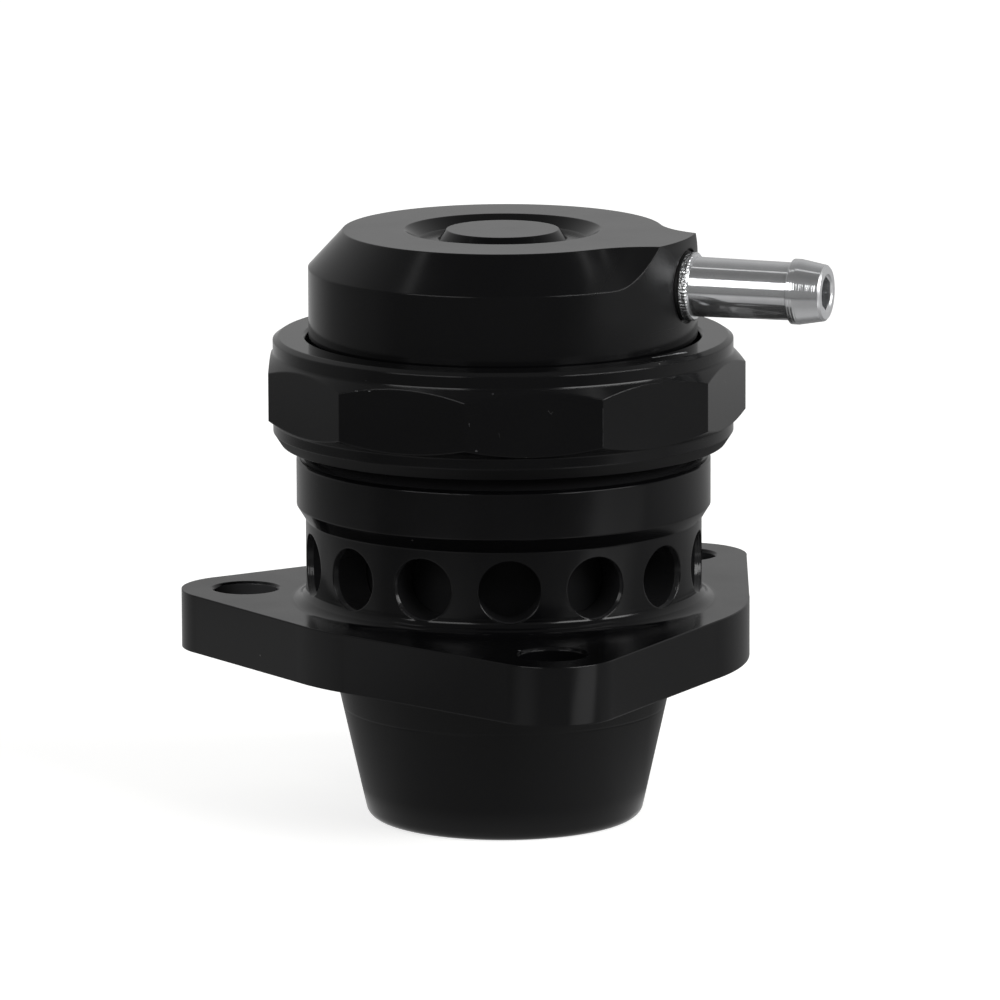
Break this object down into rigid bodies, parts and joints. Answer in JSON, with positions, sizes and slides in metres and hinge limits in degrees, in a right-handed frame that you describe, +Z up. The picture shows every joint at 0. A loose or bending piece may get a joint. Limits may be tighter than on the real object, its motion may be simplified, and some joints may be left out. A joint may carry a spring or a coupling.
{
  "type": "blow off valve",
  "caption": "Black blow-off valve with a tapered inlet nozzle, a lobed bolt flange, a vented skirt, a faceted ring nut and a cap with a bright barbed hose nipple.",
  "frame": {"origin": "centre of the inlet, in the plane of the nozzle's free end", "axes": "+Z up the valve's axis from the nozzle to the cap, -Y towards the side seen in the picture, +X to the right of it, on the hose nipple's side"},
  "size_m": [0.0653, 0.0635, 0.0594],
  "materials": {
    "black_anodised": "satin",
    "hard_anodised": "satin",
    "bright_nipple": "polished",
    "spring_steel": "satin",
    "seal_rubber": "matte",
    "slip_plastic": "matte"
  },
  "bodies": {
    "body": {"valve_body": "black_anodised", "flange_o_ring": "seal_rubber"},
    "piston": {"piston": "hard_anodised", "nose_seal": "seal_rubber", "piston_seal": "seal_rubber"},
    "cap": {"cap": "black_anodised", "cap_o_ring": "seal_rubber", "hose_nipple": "bright_nipple", "nipple_seal": "seal_rubber", "preload_shim": "spring_steel", "return_spring": "spring_steel"},
    "nut_carrier": {"slip_ring": "slip_plastic"},
    "nut": {"ring_nut": "black_anodised"}
  },
  "joints": [
    {"name": "piston_lift", "type": "slide", "parent": "body", "child": "piston", "axis": [0, 0, 1], "range_m": [0, 0.01], "stiffness_N_per_m": 1900, "springref_m": -0.0105, "deforming": ["return_spring"]},
    {"name": "cap_swivel", "type": "hinge", "parent": "body", "child": "cap", "pos_m": [0, 0, 0.0436], "axis": [0, 0, 1], "continuous": true},
    {"name": "nut_lift", "type": "slide", "parent": "body", "child": "nut_carrier", "axis": [0, 0, 1], "range_m": [0, 0.00151]},
    {"name": "nut_turn", "type": "hinge", "parent": "nut_carrier", "child": "nut", "pos_m": [0, 0, 0.0381], "axis": [0, 0, 1], "range_deg": [0, 360]}
  ],
  "couplings": [
    {"joint": "nut_lift", "follows": "nut_turn", "m_per_rad": 0.00023873}
  ]
}
